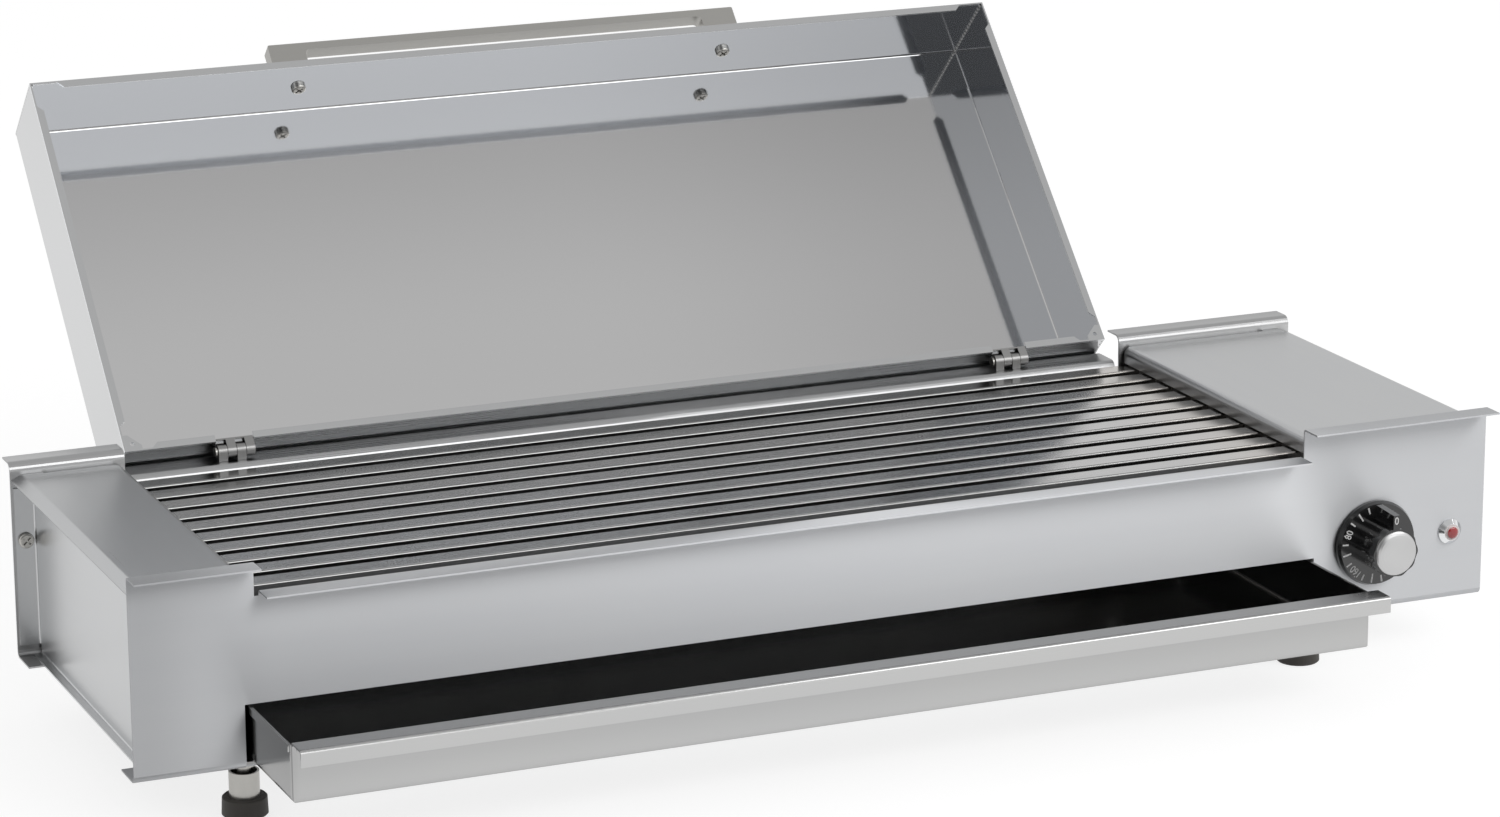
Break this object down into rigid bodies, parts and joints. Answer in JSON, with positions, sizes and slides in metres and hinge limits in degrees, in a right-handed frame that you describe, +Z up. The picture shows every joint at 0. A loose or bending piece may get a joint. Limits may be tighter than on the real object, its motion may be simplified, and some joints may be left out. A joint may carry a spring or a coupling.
{
  "type": "electric table grill",
  "caption": "Long steel table grill with heated bars, a wide hinged lid standing open, a drip tray pulled out of its front, and a dial and pilot lamp at the right end.",
  "frame": {"origin": "middle of the bounding box at the height of the feet's undersides", "axes": "+X along the front from its left end to the end with the dial, +Y from the front to the hinges, +Z up"},
  "size_m": [0.84, 0.5668, 0.3315],
  "materials": {
    "brushed_sheet": "satin brushed",
    "inner_sheet": "mill finish",
    "heated_bars": "satin, tinted by heat at one end",
    "sheath": "dark oxide",
    "brass": "plain",
    "ceramic": "glazed ceramic",
    "thermostat_case": "plated steel and dark plastic",
    "copper": "copper tube",
    "chrome": "bright",
    "red_lens": "clear red",
    "black_plastic": "moulded",
    "zinc_steel": "zinc plated",
    "foot_rubber": "matt",
    "polished_lid": "bright annealed",
    "polished_tray": "bright annealed",
    "knob_black": "gloss with white numbers",
    "knob_silver": "satin"
  },
  "bodies": {
    "housing": {"front_panel": "brushed_sheet", "rear_panel": "brushed_sheet", "left_side_panel": "inner_sheet", "right_side_panel": "inner_sheet", "left_cover": "brushed_sheet", "right_cover": "brushed_sheet", "left_bar_carrier": "inner_sheet", "right_bar_carrier": "inner_sheet", "box_floor": "inner_sheet", "grill_bar_1": "heated_bars", "grill_bar_2": "heated_bars", "grill_bar_3": "heated_bars", "grill_bar_4": "heated_bars", "grill_bar_5": "heated_bars", "grill_bar_6": "heated_bars", "grill_bar_7": "heated_bars", "grill_bar_8": "heated_bars", "grill_bar_9": "heated_bars", "grill_bar_10": "heated_bars", "heater_1": "sheath", "heater_2": "sheath", "heater_3": "sheath", "heater_4": "sheath", "heater_5": "sheath", "bus_bar_live": "brass", "bus_bar_neutral": "brass", "terminal_block": "ceramic", "thermostat_body": "thermostat_case", "thermostat_bulb": "copper", "pilot_bezel": "chrome", "pilot_lens": "red_lens", "pilot_body": "black_plastic", "cable_gland": "black_plastic", "gland_nut": "black_plastic", "panel_screws": "zinc_steel", "panel_nuts": "zinc_steel", "foot_sleeve_1": "zinc_steel", "foot_sleeve_2": "zinc_steel", "foot_sleeve_3": "zinc_steel", "foot_sleeve_4": "zinc_steel", "foot_rubber_1": "foot_rubber", "foot_rubber_2": "foot_rubber", "foot_rubber_3": "foot_rubber", "foot_rubber_4": "foot_rubber", "foot_studs": "zinc_steel", "hinge_base_left": "inner_sheet", "hinge_base_right": "inner_sheet", "hinge_pins": "zinc_steel"},
    "lid": {"lid_shell": "polished_lid", "lid_handle": "polished_lid", "handle_screws": "zinc_steel", "hinge_leaf_left": "inner_sheet", "hinge_leaf_right": "inner_sheet"},
    "tray": {"drip_tray": "polished_tray"},
    "knob": {"control_knob": "knob_black", "knob_cap": "knob_silver", "thermostat_shaft": "zinc_steel"}
  },
  "joints": [
    {"name": "lid_hinge", "type": "hinge", "parent": "housing", "child": "lid", "pos_m": [-0.02675, 0.057, 0.136], "axis": [1, 0, 0], "range_deg": [0, 134.4]},
    {"name": "tray_slide", "type": "slide", "parent": "housing", "child": "tray", "axis": [0, -1, 0], "range_m": [-0.071, 0.11]},
    {"name": "knob_turn", "type": "hinge", "parent": "housing", "child": "knob", "pos_m": [0.3447, -0.206, 0.0723], "axis": [0, 1, 0], "range_deg": [0, 270]}
  ]
}
